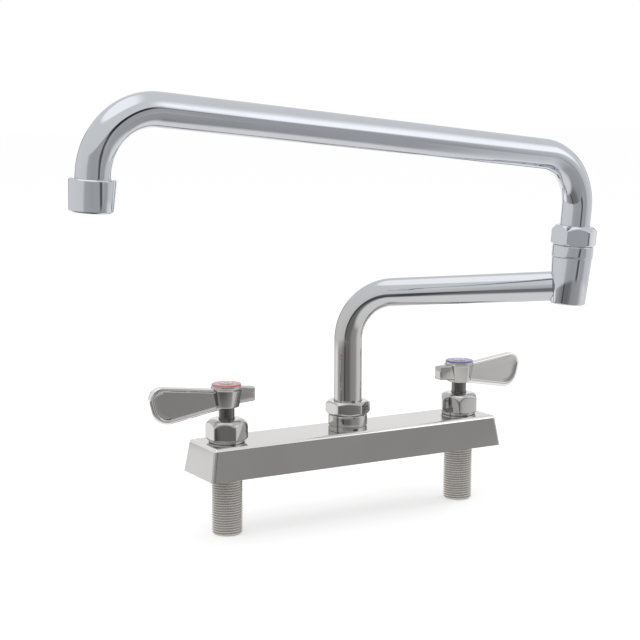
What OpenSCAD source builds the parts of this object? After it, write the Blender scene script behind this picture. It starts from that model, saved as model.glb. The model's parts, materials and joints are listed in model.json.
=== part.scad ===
// Deck-mount kitchen faucet on 8 inch centres with a double-jointed swing spout.
// Z is up, X runs along the base from the hot to the cold valve, -Y faces the user.
// The origin is the middle of the base's underside, where it meets the deck.

/* [Base] */
// Length of the base at the deck
base_l = 250; // [235:1:300]
// Depth of the base at the deck, front to back
base_w = 47.6; // [44:0.2:60]
// Height of the base
base_h = 23.4; // [21:0.2:30]
// How far each end leans in from deck to top
end_draft = 3.7; // [1:0.1:6]
// How far the front and back lean in from deck to top
side_draft = 2.8; // [1:0.1:5]
// Rounding of the upper edges
edge_r = 1.4; // [0.6:0.1:2.5]
// Thickness of the side walls
side_wall = 3; // [2:0.1:4]
// Thickness of the top wall
top_wall = 3.6; // [2.5:0.1:5]
// Outside diameter of the mixing channel across the base
channel_d = 15; // [13:0.5:17]
// Bore of the mixing channel
channel_bore = 9; // [6:0.5:10]

/* [Valves] */
// Distance between the two valve axes
centres = 203.2; // [190:0.1:208]
// Outside diameter of the valve boss inside the base
boss_d = 28; // [26:0.5:32]
// Outside diameter of the threaded neck that takes the bonnet
neck_d = 24.4; // [23.5:0.1:25]
// Height of the threaded neck above the base
neck_h = 7.4; // [6:0.1:9]
// Bore of the valve chamber
chamber_d = 18.8; // [18:0.1:20]
// Height of the chamber floor above the deck
chamber_floor = 8; // [7.5:0.1:9]
// Bore of the port in the chamber floor
port_d = 9; // [7:0.5:10]
// Radial clearance of fixed pieces that fit together
fit = 0.1; // [0.04:0.01:0.15]
// Radial clearance of shafts that turn
run_fit = 0.08; // [0.03:0.01:0.1]
// Clearance between moving and fixed faces
gap = 0.3; // [0.25:0.01:0.4]

/* [Supply shanks] */
// Outside diameter of the shank threads
shank_d = 22.3; // [20.5:0.1:23]
// Bore of the shanks
shank_bore = 14; // [11:0.5:15]
// Length of the shanks below the deck
shank_l = 44; // [25:1:80]
// How far the shanks reach up into the base
shank_in = 6; // [4:0.1:7]
// Diameter of the plain shank end inside the base
shank_neck_d = 19.8; // [18.5:0.1:20.3]
// Chamfer at the end of the shanks
shank_bevel = 0.9; // [0.4:0.1:1.5]

/* [Cartridges] */
// Thickness of the rubber seat seal
seal_t = 2; // [1.5:0.1:2.5]
// Thickness of each ceramic disc
disc_t = 3; // [2.5:0.1:3.2]
// Diameter of the ceramic discs
disc_d = 16.4; // [15.5:0.1:16.6]
// Gap between the two ceramic discs
disc_gap = 0.06; // [0.04:0.01:0.1]
// Wall of the cartridge sleeve round the discs
sleeve_wall = 0.8; // [0.7:0.05:0.9]
// Thickness of the stem's foot
foot_t = 3.4; // [3:0.1:4]
// Diameter of the stem
stem_d = 11.4; // [9:0.1:11.5]
// Height of the stem above the base, up to the lever
stem_h = 25.2; // [23:0.1:30]
// Thickness of the cartridge flange that the bonnet holds down
flange_t = 2.4; // [2:0.1:3]
// Height of the cartridge neck above its flange
gland_h = 3; // [2:0.1:3.5]
// Cross-section diameter of the stem O-ring
stem_ring_d = 1.6; // [1.4:0.05:1.8]

/* [Bonnets] */
// Size of the bonnet hexagon across its flats
bonnet_af = 26.9; // [26.6:0.1:29]
// Height of the bonnet top above the base
bonnet_h = 16.8; // [16:0.1:20]
// Height of the round band below the hexagon
band_h = 1.5; // [1:0.1:2.5]
// Radius of the bonnet's domed shoulder
dome_r = 6.2; // [4:0.1:7]
// Turn of the hot bonnet's flats about its axis
hot_bonnet_turn = 28; // [0:1:59]
// Turn of the cold bonnet's flats about its axis
cold_bonnet_turn = 59; // [0:1:59]

/* [Levers] */
// Distance from the valve axis to the blade's outer end
lever_l = 59.3; // [50:0.1:75]
// Distance from the valve axis to the end of the rear stub
stub_l = 21; // [18:0.5:26]
// Thickness of the blade
blade_t = 5.6; // [4:0.1:8]
// Height of the blade at its outer end
blade_h = 27; // [22:0.5:32]
// Upper corner radius at the blade's outer end
blade_r = 9.5; // [6:0.5:9.5]
// Lower corner radius at the blade's outer end
blade_low_r = 12.5; // [8:0.5:12.5]
// How far the blade's upper corner rises above the hub
blade_up = 2.7; // [1:0.1:5]
// Height of the blade at the hub
blade_root = 15; // [12:0.5:15.5]
// Width of the blade's raised rim
rim_w = 2.2; // [1.5:0.1:3.5]
// Depth of the hollow in each side of the blade
dish = 1.1; // [0.5:0.1:1.6]
// Height of the lever hub
hub_h = 15.8; // [15:0.1:20]
// Size of the hub across its flats at the bottom
hub_low = 16; // [15:0.1:18]
// Size of the hub across its flats at the top
hub_top = 20.4; // [18:0.1:22]
// How far the closed levers point behind the valve line
lever_rest = 3; // [0:1:15]
// Outside diameter of the index ring
index_d = 21.8; // [18:0.1:24]
// Thickness of the index ring
index_t = 1.1; // [0.8:0.1:2]
// Diameter of the handle screw head
screw_head = 9; // [7:0.1:10]
// Diameter of the handle screw thread
screw_d = 4; // [3:0.1:4.5]

/* [Spout] */
// Outside diameter of the spout tube
tube_d = 20.8; // [18:0.1:21.5]
// Wall of the spout tube
tube_wall = 1.5; // [1:0.1:2]
// Height of the lower arm's axis above the deck, at the riser
arm1_z = 123.5; // [100:0.5:200]
// Length of the lower arm from the riser axis to the elbow axis
arm1_l = 163; // [120:1:260]
// Angle by which the lower arm climbs
arm1_rise = 4.6; // [0:0.1:6]
// Angle by which the elbow axis leans outwards from upright
elbow_lean = 4.2; // [0:0.1:6]
// Height of the upper arm's axis above the lower arm, along the elbow axis
arm2_z = 89; // [85:0.5:150]
// Length of the upper arm from the elbow axis to the outlet axis
arm2_l = 368; // [200:1:400]
// Angle by which the upper arm climbs from square to the elbow axis
arm2_rise = 3.3; // [0:0.1:6]
// Drop from the upper arm's axis to the outlet
outlet_drop = 61.2; // [58:0.2:90]
// Radius of the tube bends, on the tube axis
bend_r = 37; // [30:0.5:38]
// Swing of the lower arm about the riser as shown
swing = -50; // [-180:1:180]
// Swing of the upper arm about the elbow as shown, from the lower arm's direction
fold = 232.6; // [0:0.1:360]

/* [Spout hub] */
// How much wider than the tube the round collar under the coupling nut is
collar_over = 8.6; // [8:0.1:12]
// Height of the collar
collar_h = 10.2; // [8:0.1:14]
// How much wider than the tube the thread for the coupling nut is
hub_thread_over = 6.2; // [5.8:0.1:6.8]
// How much wider than the tube the hub coupling nut is across its flats
hub_nut_over = 8.6; // [8.2:0.1:12]
// Height of the hub coupling nut
hub_nut_h = 9.8; // [9.4:0.1:14]
// Turn of the hub nut's flats about its axis
hub_nut_turn = 34; // [0:1:59]
// Length of the insert that turns in the hub and the elbow
insert_l = 10; // [9.5:0.1:10.5]
// Cross-section diameter of the spout O-rings
ring_d = 1.7; // [1.4:0.05:1.8]
// Thickness of the insert flange
shoulder_t = 2.4; // [2:0.1:2.6]
// How far the insert reaches up into its tube
spigot_l = 9; // [5:0.5:12]
// Thickness of the slip washer under each nut
washer_t = 1.2; // [0.8:0.1:1.4]

/* [Elbow] */
// How much wider than the tube the elbow body is under the band
elbow_top_over = 7; // [6.6:0.1:10]
// How much wider than the tube the elbow body is at its bottom
elbow_low_over = 4; // [3:0.1:8]
// Distance from the lower arm's axis to the bottom of the elbow body
elbow_low = 12.8; // [12.5:0.1:16]
// Distance from the lower arm's axis up to the band
elbow_up = 19.9; // [19:0.1:26]
// How much wider than the tube the band is
band_over = 7.8; // [7.4:0.1:11]
// Height of the band
elbow_band_h = 8.4; // [6:0.1:10]
// How much wider than the tube the thread inside the band and nut is
elbow_thread_over = 5.2; // [5:0.1:5.6]
// How much wider than the tube the elbow nut is across its flats
elbow_nut_over = 7.2; // [7.2:0.1:11]
// Height of the elbow nut
elbow_nut_h = 13.6; // [12:0.1:16]
// Turn of the elbow nut's flats about its axis
elbow_nut_turn = 23; // [0:1:59]

/* [Aerator] */
// How much wider than the tube the aerator housing is
aerator_over = 6.9; // [4.6:0.1:8]
// Height of the aerator housing
aerator_h = 19; // [18:0.1:19.5]
// How far the tube reaches into the housing
aerator_in = 9; // [7:0.1:10]
// Height of the flow insert
flow_h = 6; // [4:0.1:6.5]
// Thickness of the aerator washer
aerator_washer_t = 1.6; // [1:0.1:2]

/* [Hidden] */

$fn = 96;
eps = 0.02;

// Heights in the valves, from the deck up
channel_up = 0.6;
channel_z = chamber_floor + channel_bore / 2 + channel_up;
neck_top = base_h + neck_h;
disc_z = chamber_floor + seal_t;
turning_z = disc_z + disc_t + disc_gap;
foot_z = turning_z + disc_t;
sleeve_top = foot_z + foot_t + gap;
gland_top = neck_top + flange_t + gland_h;
bonnet_top = base_h + bonnet_h;
bonnet_foot = base_h + gap;
stem_top = base_h + stem_h;
broach_d = 8;
broach_h = 8.5;
stem_ring_up = 5;
stem_ring_z = sleeve_top + stem_ring_up;
cartridge_d = chamber_d - 2 * fit;

// Heights at the hub, from the deck up
seat_in = 6;
seat_spigot_d = 18;
collar_top = base_h + collar_h;
hub_nut_z = collar_top + gap;
insert_proud = 2;
hub_insert_z = collar_top + insert_proud - insert_l;
water_d = 12.4;
tube_bore = tube_d - 2 * tube_wall;
seat_water_d = 13;
collar_d = tube_d + collar_over;
hub_thread_d = tube_d + hub_thread_over;
hub_nut_af = tube_d + hub_nut_over;
hub_shoulder_over = 3.2;
hub_shoulder_d = tube_d + hub_shoulder_over;

// Diameters round the elbow axis and at the outlet
elbow_top_d = tube_d + elbow_top_over;
elbow_low_d = tube_d + elbow_low_over;
band_d = tube_d + band_over;
elbow_thread_d = tube_d + elbow_thread_over;
elbow_nut_af = tube_d + elbow_nut_over;
elbow_shoulder_over = 2.2;
elbow_shoulder_d = tube_d + elbow_shoulder_over;
aerator_d = tube_d + aerator_over;
flow_d = tube_d + 0.6;

// Lengths along the elbow axis, from the lower arm's axis up
elbow_band_z = elbow_up + fit;
elbow_nut_z = elbow_band_z + elbow_band_h + gap;
upper_insert_less = 0.6;
upper_insert_proud = 2.4;
upper_insert_l = 2 * insert_l - upper_insert_less;
upper_insert_z = elbow_nut_z + upper_insert_proud - upper_insert_l;
lower_bend = 90 - arm1_rise;
upper_bend = 90 - arm2_rise;
outlet_bend = 90 + arm2_rise;
arm1_end = 9.5;
bend_thin = 0.12;
bend_lap = 0.3;
belt_tuck = 0.005;

// Corner of a tube bend to the start of its arc
function setback(angle) = bend_r * tan(angle / 2);

// Clearances of the O-rings in their grooves and of the slip washers in their nuts
ring_slack = 0.02;
washer_slack = 0.4;

// Direction of the outer tangent from circle a to circle b, each [x, y, radius]
function side_angle(a, b) =
    atan2(b.y - a.y, b.x - a.x) - acos((a.z - b.z) / norm([b.x - a.x, b.y - a.y]));

function inside_rim(c, angle) =
    [c.x + (c.z - belt_tuck) * cos(angle), c.y + (c.z - belt_tuck) * sin(angle)];

// Belt drawn round circles that are listed anticlockwise, its sides tucked a hair inside
module belt(circles) {
    n = len(circles);
    polygon([for (i = [0 : n - 1])
        let (before = circles[(i + n - 1) % n], here = circles[i], after = circles[(i + 1) % n])
            each [inside_rim(here, side_angle(before, here)),
                inside_rim(here, side_angle(here, after))]]);
    for (c = circles) translate([c.x, c.y]) circle(r = c.z);
}

// Upright profile of a wall that leans in, with rounded upper corners
module leaning_profile(width, height, lean, r) {
    slant = norm([height, lean]);
    corner = width / 2 - (r * slant + lean * (height - r)) / height;
    rim = [corner + r * height / slant, height - r + r * lean / slant];
    polygon([[-width / 2, 0], [width / 2, 0], rim, [corner, height], [-corner, height],
        [-rim.x, rim.y]]);
    for (side = [-1, 1]) translate([side * corner, height - r]) circle(r = r);
}

module leaning_block(length, width, height, end_lean, side_lean, r) {
    intersection() {
        rotate([90, 0, 0]) linear_extrude(width + 1, center = true)
            leaning_profile(length, height, end_lean, r);
        rotate([90, 0, 90]) linear_extrude(length + 1, center = true)
            leaning_profile(width, height, side_lean, r);
    }
}

module ring(z, height, outer, inner) {
    translate([0, 0, z]) difference() {
        cylinder(h = height, d = outer);
        translate([0, 0, -eps]) cylinder(h = height + 2 * eps, d = inner);
    }
}

module o_ring(z, floor_r, section) {
    translate([0, 0, z]) rotate_extrude() translate([floor_r + section / 2, 0])
        circle(d = section);
}

// Hexagon with both rims turned off round, as on a chamfered nut
module hex_nut(z, height, flats, rim_low, rim_high, turn) {
    corner = flats / sqrt(3);
    translate([0, 0, z]) intersection() {
        rotate([0, 0, turn]) cylinder(h = height, r = corner, $fn = 6);
        rotate_extrude() polygon([[0, 0], [corner - rim_low, 0],
            [corner + eps, rim_low * 0.7], [corner + eps, height - rim_high * 0.7],
            [corner - rim_high, height], [0, height]]);
    }
}

// Tube of runs [straight length, bend angle], starting up Z and bending towards X.
// The tube is drawn a hair thinner in its bends, and each straight laps onto them.
module pipe_run(d, runs, k = 0) {
    length = runs[k][0];
    angle = runs[k][1];
    from = k > 0 ? -bend_lap : 0;
    to = angle > 0 ? length + bend_lap : length;
    translate([0, 0, from]) cylinder(h = to - from, d = d);
    if (angle > 0) translate([bend_r, 0, length]) {
        rotate([90, 0, 0]) rotate([0, 0, 180 - angle]) rotate_extrude(angle = angle)
            translate([bend_r, 0]) circle(d = d - bend_thin);
        rotate([0, angle, 0]) translate([-bend_r, 0, 0]) pipe_run(d, runs, k + 1);
    }
}

module at_valve(side) {
    translate([side * centres / 2, 0, 0]) children();
}

// The levers point outwards, mirrored from hot to cold
module at_lever(side) {
    at_valve(side) rotate([0, 0, side > 0 ? lever_rest : 180 - lever_rest]) children();
}

module along_arm1() {
    rotate([0, 0, swing]) translate([arm1_l * cos(arm1_rise), 0,
        arm1_z + arm1_l * sin(arm1_rise)]) children();
}

module at_elbow() {
    along_arm1() rotate([0, elbow_lean, 0]) children();
}

module at_upper() {
    at_elbow() rotate([0, 0, fold]) children();
}

// At the outlet, with Z pointing back up the elbow axis
module at_outlet() {
    at_upper() translate([arm2_l * cos(arm2_rise), 0,
        arm2_z + arm2_l * sin(arm2_rise) - outlet_drop]) children();
}

module base_body() {
    inner_h = base_h - top_wall;
    seat_boss_d = boss_d - 3;
    color("silver") difference() {
        union() {
            difference() {
                leaning_block(base_l, base_w, base_h, end_draft, side_draft, edge_r);
                translate([0, 0, -eps]) leaning_block(base_l - 2 * side_wall,
                    base_w - 2 * side_wall, inner_h, end_draft * inner_h / base_h,
                    side_draft * inner_h / base_h, edge_r / 2);
            }
            for (side = [-1, 1]) at_valve(side) {
                cylinder(h = inner_h + eps, d = boss_d);
                cylinder(h = neck_top, d = neck_d);
            }
            cylinder(h = inner_h + eps, d = seat_boss_d);
            translate([0, 0, channel_z]) rotate([0, 90, 0])
                cylinder(h = centres, d = channel_d, center = true);
        }
        translate([0, 0, channel_z]) rotate([0, 90, 0])
            cylinder(h = centres, d = channel_bore, center = true);
        translate([0, 0, channel_z]) cylinder(h = base_h, d = seat_water_d);
        translate([0, 0, base_h - seat_in - fit])
            cylinder(h = base_h, d = seat_spigot_d + 2 * fit);
        for (side = [-1, 1]) at_valve(side) {
            translate([0, 0, chamber_floor]) cylinder(h = neck_top, d = chamber_d);
            translate([0, 0, -1]) cylinder(h = chamber_floor + 2, d = port_d);
            translate([0, 0, -1]) cylinder(h = shank_in + 1, d = shank_neck_d + 2 * fit);
        }
    }
}

module shank(side) {
    r = shank_d / 2;
    color("tan") at_valve(side) rotate_extrude()
        polygon([[shank_bore / 2, -shank_l], [r - shank_bevel, -shank_l],
            [r, shank_bevel - shank_l], [r, -gap], [shank_neck_d / 2, -gap],
            [shank_neck_d / 2, shank_in], [shank_bore / 2, shank_in]]);
}

module seat_seal(side) {
    seal_bore = port_d + 1;
    color("black") at_valve(side) ring(chamber_floor, seal_t, disc_d, seal_bore);
}

// Two fan-shaped ports through a ceramic disc
module disc_ports() {
    outer_d = disc_d * 0.8;
    inner_d = disc_d * 0.28;
    spread = disc_d * 0.62;
    for (turn = [0, 180]) rotate([0, 0, turn]) intersection() {
        difference() {
            circle(d = outer_d);
            circle(d = inner_d);
        }
        polygon([[0, 0], [disc_d, -spread], [disc_d, spread]]);
    }
}

module fixed_disc(side) {
    color("white") at_valve(side) translate([0, 0, disc_z]) linear_extrude(disc_t)
        difference() {
            circle(d = disc_d);
            disc_ports();
        }
}

module turning_disc(side) {
    color("white") at_valve(side) translate([0, 0, turning_z]) rotate([0, 0, 90])
        linear_extrude(disc_t) difference() {
            circle(d = disc_d);
            disc_ports();
        }
}

module cartridge(side) {
    window_h = foot_t * 0.7;
    window_w = 6;
    color("goldenrod") at_valve(side) difference() {
        union() {
            translate([0, 0, disc_z]) cylinder(h = neck_top - disc_z + eps, d = cartridge_d);
            translate([0, 0, neck_top]) cylinder(h = flange_t, d = neck_d);
            translate([0, 0, neck_top]) cylinder(h = flange_t + gland_h, d = cartridge_d);
        }
        translate([0, 0, disc_z - eps])
            cylinder(h = sleeve_top - disc_z, d = cartridge_d - 2 * sleeve_wall);
        cylinder(h = gland_top + 1, d = stem_d + 2 * run_fit);
        translate([-cartridge_d / 2 - 1, -window_w / 2, foot_z + (foot_t - window_h) / 2])
            cube([cartridge_d + 2, window_w, window_h]);
    }
}

module stem(side) {
    groove = stem_ring_d + 0.3;
    screw_hole = 6;
    color("dimgray") at_valve(side) difference() {
        union() {
            translate([0, 0, foot_z]) cylinder(h = foot_t, d = disc_d);
            translate([0, 0, foot_z]) cylinder(h = stem_top - foot_z, d = stem_d);
            translate([0, 0, stem_top - eps]) cylinder(h = broach_h + eps, d = broach_d);
        }
        difference() {
            translate([0, 0, stem_ring_z - groove / 2]) cylinder(h = groove, d = stem_d + 1);
            cylinder(h = stem_top, d = stem_d - 2 * stem_ring_d);
        }
        translate([0, 0, stem_top - screw_hole])
            cylinder(h = screw_hole + broach_h + 1, d = screw_d + 2 * fit);
    }
}

module stem_ring(side) {
    color("black") at_valve(side)
        o_ring(stem_ring_z, stem_d / 2 - stem_ring_d + ring_slack,
            stem_ring_d - 2 * ring_slack);
}

module bonnet(side) {
    corner = bonnet_af / sqrt(3);
    hex_z = bonnet_foot + band_h;
    turn = side > 0 ? cold_bonnet_turn : hot_bonnet_turn;
    round_d = bonnet_af - 0.6;
    chamfer_w = 1.6;
    chamfer_h = 1.1;
    color("gainsboro") at_valve(side) difference() {
        union() {
            translate([0, 0, bonnet_foot]) cylinder(h = band_h + 1, d = round_d);
            intersection() {
                translate([0, 0, hex_z]) rotate([0, 0, turn])
                    cylinder(h = bonnet_top - hex_z, r = corner, $fn = 6);
                rotate_extrude() {
                    translate([0, hex_z]) polygon([[0, 0], [corner - chamfer_w, 0],
                        [corner, chamfer_h], [corner, bonnet_h - dome_r - band_h - gap],
                        [0, bonnet_h]]);
                    translate([corner - dome_r, bonnet_top - dome_r]) circle(r = dome_r);
                    translate([0, hex_z]) square([corner - dome_r, bonnet_top - hex_z]);
                }
            }
        }
        translate([0, 0, base_h]) cylinder(h = neck_h + flange_t + fit, d = neck_d + 2 * fit);
        translate([0, 0, base_h])
            cylinder(h = gland_top + gap - base_h, d = cartridge_d + 2 * fit);
        cylinder(h = bonnet_top + 1, d = stem_d + 2 * gap);
    }
}

// Side view of the paddle blade: x is the reach from the valve axis, y the height
module blade_outline(inset) {
    top = hub_h + blade_up;
    low = top - blade_h;
    root = hub_h - 2.1;
    root_r = 5.5;
    root_x = blade_root / 3;
    low_back = 1.5;
    belt([[root_x, root - blade_root + root_r, root_r - inset],
        [lever_l - blade_low_r - low_back, low + blade_low_r, blade_low_r - inset],
        [lever_l - blade_r, top - blade_r, blade_r - inset],
        [root_x, root - root_r, root_r - inset]]);
}

module lever(side) {
    cap_h = 2;
    dish_x = hub_top / 2 + 1;
    color("silver") at_lever(side) translate([0, 0, stem_top]) difference() {
        union() {
            rotate([0, 0, 30]) cylinder(h = hub_h - cap_h, d1 = hub_low / cos(30),
                d2 = hub_top / cos(30), $fn = 6);
            translate([0, 0, hub_h - cap_h - eps]) cylinder(h = cap_h + eps, d = index_d);
            difference() {
                rotate([90, 0, 0]) linear_extrude(blade_t, center = true) blade_outline(0);
                for (face = [-1, 1]) translate([0, face * blade_t / 2, 0]) rotate([90, 0, 0])
                    linear_extrude(2 * dish, center = true) intersection() {
                        blade_outline(rim_w);
                        translate([dish_x, -blade_h]) square([lever_l, 3 * blade_h]);
                    }
            }
            stub();
        }
        translate([0, 0, -1]) cylinder(h = 1 + eps, d = stem_d + 2 * fit);
        translate([0, 0, -1]) cylinder(h = broach_h + 1 + fit, d = broach_d + 2 * fit);
        cylinder(h = hub_h + 1, d = screw_d + 2 * fit);
    }
}

// Short square-ended tail opposite the blade
module stub() {
    tail_h = 11.6;
    tail_w = 8.4;
    tail_z = hub_h - 7.6;
    root_t = 1;
    root_w = tail_w + 3;
    root_h = tail_h + 1.8;
    root_x = -hub_low / 2 - root_t;
    root_z = tail_z + 0.2;
    end_t = 2;
    end_x = end_t / 2 - stub_l;
    end_h = tail_h - 1.6;
    end_w = tail_w - 2.4;
    hull() {
        translate([root_x, 0, root_z]) cube([root_t, root_w, root_h], center = true);
        translate([end_x, 0, tail_z]) cube([end_t, tail_w, end_h], center = true);
        translate([end_x, 0, tail_z]) cube([end_t, end_w, tail_h], center = true);
    }
    translate([root_x, 0, tail_z]) cube([hub_low / 2, tail_w, tail_h], center = true);
}

module index_ring(side) {
    tint = side > 0 ? "slateblue" : "firebrick";
    outer_d = index_d - 0.6;
    color(tint) at_valve(side)
        ring(stem_top + hub_h, index_t, outer_d, screw_head + 2 * fit);
}

module screw(side) {
    head_z = stem_top + hub_h;
    crown_h = 0.9;
    crown_r = screw_head * 1.2;
    thread_in = 4;
    color("lightgray") at_valve(side) {
        translate([0, 0, head_z]) cylinder(h = index_t, d = screw_head);
        translate([0, 0, head_z + index_t]) intersection() {
            cylinder(h = 1, d = screw_head);
            translate([0, 0, crown_h - crown_r]) sphere(r = crown_r);
        }
        translate([0, 0, stem_top - thread_in])
            cylinder(h = hub_h + thread_in + eps, d = screw_d);
    }
}

module spout_seat() {
    pocket_z = hub_insert_z + insert_l - gap;
    thread_top = pocket_z + gap + shoulder_t + gap;
    through = base_h + hub_nut_h + insert_l;
    r = collar_d / 2;
    groove_low = base_h + 1.3;
    groove_high = base_h + 2.2;
    groove_r = r - 0.5;
    groove_bevel = 0.2;
    top_bevel = 0.6;
    color("silver") difference() {
        rotate_extrude() polygon([[0, base_h - seat_in], [seat_spigot_d / 2, base_h - seat_in],
            [seat_spigot_d / 2, base_h], [r, base_h], [r, groove_low],
            [groove_r, groove_low + groove_bevel], [groove_r, groove_high - groove_bevel],
            [r, groove_high], [r, collar_top - top_bevel], [r - top_bevel, collar_top],
            [hub_thread_d / 2, collar_top], [hub_thread_d / 2, thread_top],
            [0, thread_top]]);
        translate([0, 0, base_h - seat_in - 1]) cylinder(h = through, d = seat_water_d);
        translate([0, 0, hub_insert_z - gap]) cylinder(h = through, d = tube_d + 2 * run_fit);
        translate([0, 0, pocket_z]) cylinder(h = through, d = hub_shoulder_d + 2 * gap);
    }
}

module hub_nut() {
    lip_z = hub_insert_z + insert_l + shoulder_t + 2 * gap + washer_t;
    color("gainsboro") difference() {
        hex_nut(hub_nut_z, hub_nut_h, hub_nut_af, rim_low = 2.2, rim_high = 2.6,
            turn = hub_nut_turn);
        translate([0, 0, base_h]) cylinder(h = lip_z - base_h, d = hub_thread_d + 2 * fit);
        cylinder(h = hub_nut_z + hub_nut_h + 1, d = tube_d + 2 * gap);
    }
}

module hub_washer() {
    color("ivory") ring(hub_insert_z + insert_l + shoulder_t + 1.5 * gap, washer_t,
        hub_thread_d - washer_slack, tube_d + 2 * gap);
}

// Brass swivel insert: grooved barrel, shoulder, and a spigot inside the tube
module swivel_insert(length, shoulder_d) {
    groove = ring_d + 0.4;
    shoulder_z = length;
    difference() {
        union() {
            cylinder(h = length + eps, d = tube_d);
            translate([0, 0, shoulder_z]) cylinder(h = shoulder_t, d = shoulder_d);
            cylinder(h = shoulder_z + shoulder_t + spigot_l, d = tube_bore - 2 * fit);
        }
        for (z = [ring_low(), ring_high(length)]) difference() {
            translate([0, 0, z - groove / 2]) cylinder(h = groove, d = tube_d + 1);
            cylinder(h = length, d = tube_d - 2 * ring_d);
        }
        translate([0, 0, -1]) cylinder(h = length + shoulder_t + spigot_l + 2, d = water_d);
    }
}

function ring_low() = 2.6;
function ring_high(length) = length - 3;

module swivel_rings(length) {
    for (z = [ring_low(), ring_high(length)])
        o_ring(z, tube_d / 2 - ring_d + ring_slack, ring_d - 2 * ring_slack);
}

module lower_insert() {
    color("goldenrod") rotate([0, 0, swing]) translate([0, 0, hub_insert_z])
        swivel_insert(insert_l, hub_shoulder_d);
}

module lower_rings() {
    color("black") translate([0, 0, hub_insert_z]) swivel_rings(insert_l);
}

module lower_tube() {
    start = hub_insert_z + insert_l + shoulder_t;
    runs = [[arm1_z - start - setback(lower_bend), lower_bend],
        [arm1_l - setback(lower_bend) - arm1_end, 0]];
    color("lightsteelblue") rotate([0, 0, swing]) translate([0, 0, start]) difference() {
        pipe_run(tube_d, runs);
        pipe_run(tube_bore, runs);
    }
}

module elbow_body() {
    r = elbow_low_d / 2;
    slope = (elbow_top_d - elbow_low_d) / 2 / (elbow_up + elbow_low);
    pocket_z = upper_insert_z + upper_insert_l - gap;
    thread_top = pocket_z + gap + shoulder_t + gap;
    through = elbow_up + elbow_band_h + elbow_nut_h;
    foot_rim = 1.4;
    foot_cut = 0.4;
    upright_bore = tube_bore - 1;
    arm_bore = tube_bore - 2;
    color("lightsteelblue") difference() {
        at_elbow() rotate_extrude() polygon([[0, -elbow_low], [r - foot_rim, -elbow_low],
            [r - foot_cut, foot_cut - elbow_low], [r + foot_rim * slope, foot_rim - elbow_low],
            [elbow_top_d / 2, elbow_up], [elbow_thread_d / 2, elbow_up],
            [elbow_thread_d / 2, thread_top], [0, thread_top]]);
        at_elbow() {
            translate([0, 0, -tube_bore / 2]) cylinder(h = through, d = upright_bore);
            translate([0, 0, upper_insert_z - gap]) cylinder(h = through, d = tube_d + 2 * run_fit);
            translate([0, 0, pocket_z]) cylinder(h = through, d = elbow_shoulder_d + 2 * gap);
        }
        along_arm1() rotate([0, -90 - arm1_rise, 0]) {
            cylinder(h = elbow_low_d, d = arm_bore);
            translate([0, 0, arm1_end - fit]) cylinder(h = elbow_low_d, d = tube_d + 2 * fit);
        }
    }
}

module elbow_band() {
    r = band_d / 2;
    inner_r = elbow_thread_d / 2 + fit;
    low_bevel = 0.5;
    top_bevel = 0.8;
    color("gainsboro") at_elbow() translate([0, 0, elbow_band_z]) rotate_extrude()
        polygon([[inner_r, 0], [r - low_bevel, 0], [r, low_bevel],
            [r, elbow_band_h - top_bevel], [r - top_bevel, elbow_band_h],
            [inner_r, elbow_band_h]]);
}

module elbow_nut() {
    lip_z = upper_insert_z + upper_insert_l + shoulder_t + 2 * gap + washer_t;
    color("gainsboro") at_elbow() difference() {
        hex_nut(elbow_nut_z, elbow_nut_h, elbow_nut_af, rim_low = 1.4, rim_high = 3.6,
            turn = elbow_nut_turn);
        cylinder(h = lip_z, d = elbow_thread_d + 2 * fit);
        cylinder(h = elbow_nut_z + elbow_nut_h + 1, d = tube_d + 2 * gap);
    }
}

module elbow_washer() {
    color("ivory") at_elbow() ring(upper_insert_z + upper_insert_l + shoulder_t + 1.5 * gap,
        washer_t, elbow_thread_d - washer_slack, tube_d + 2 * gap);
}

module upper_insert() {
    color("goldenrod") at_upper() translate([0, 0, upper_insert_z])
        swivel_insert(upper_insert_l, elbow_shoulder_d);
}

module upper_rings() {
    color("black") at_upper() translate([0, 0, upper_insert_z]) swivel_rings(upper_insert_l);
}

module upper_tube() {
    start = upper_insert_z + upper_insert_l + shoulder_t;
    runs = [[arm2_z - start - setback(upper_bend), upper_bend],
        [arm2_l - setback(upper_bend) - setback(outlet_bend), outlet_bend],
        [outlet_drop - setback(outlet_bend) - aerator_h + aerator_in, 0]];
    color("lightsteelblue") at_upper() translate([0, 0, start]) difference() {
        pipe_run(tube_d, runs);
        pipe_run(tube_bore, runs);
    }
}

module aerator_housing() {
    r = aerator_d / 2;
    color("lightsteelblue") at_outlet() difference() {
        rotate_extrude() polygon([[0, 0], [r - 1.8, 0], [r - 0.7, 0.5], [r - 0.3, 1.7],
            [r, aerator_h - 0.9], [r - 0.8, aerator_h], [0, aerator_h]]);
        translate([0, 0, aerator_h - aerator_in - aerator_washer_t])
            cylinder(h = aerator_h, d = tube_d + 2 * fit);
        translate([0, 0, -1]) cylinder(h = aerator_h, d = tube_bore);
        translate([0, 0, -1]) cylinder(h = flow_h + 2, d = flow_d);
    }
}

module aerator_washer() {
    washer_bore = tube_bore - 3;
    color("black") at_outlet()
        ring(aerator_h - aerator_in - aerator_washer_t, aerator_washer_t, tube_d, washer_bore);
}

// Flow straightener with a ring of water holes
module flow_insert() {
    holes = 6;
    hole_d = 4.2;
    hole_out = 5.6;
    flow_z = 0.8;
    color("whitesmoke") at_outlet() translate([0, 0, flow_z]) difference() {
        cylinder(h = flow_h, d = flow_d - 2 * fit);
        for (k = [0 : holes - 1]) rotate([0, 0, 360 / holes * k]) translate([hole_out, 0, -1])
            cylinder(h = flow_h + 2, d = hole_d);
        translate([0, 0, -1]) cylinder(h = flow_h + 2, d = hole_d);
    }
}

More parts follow.
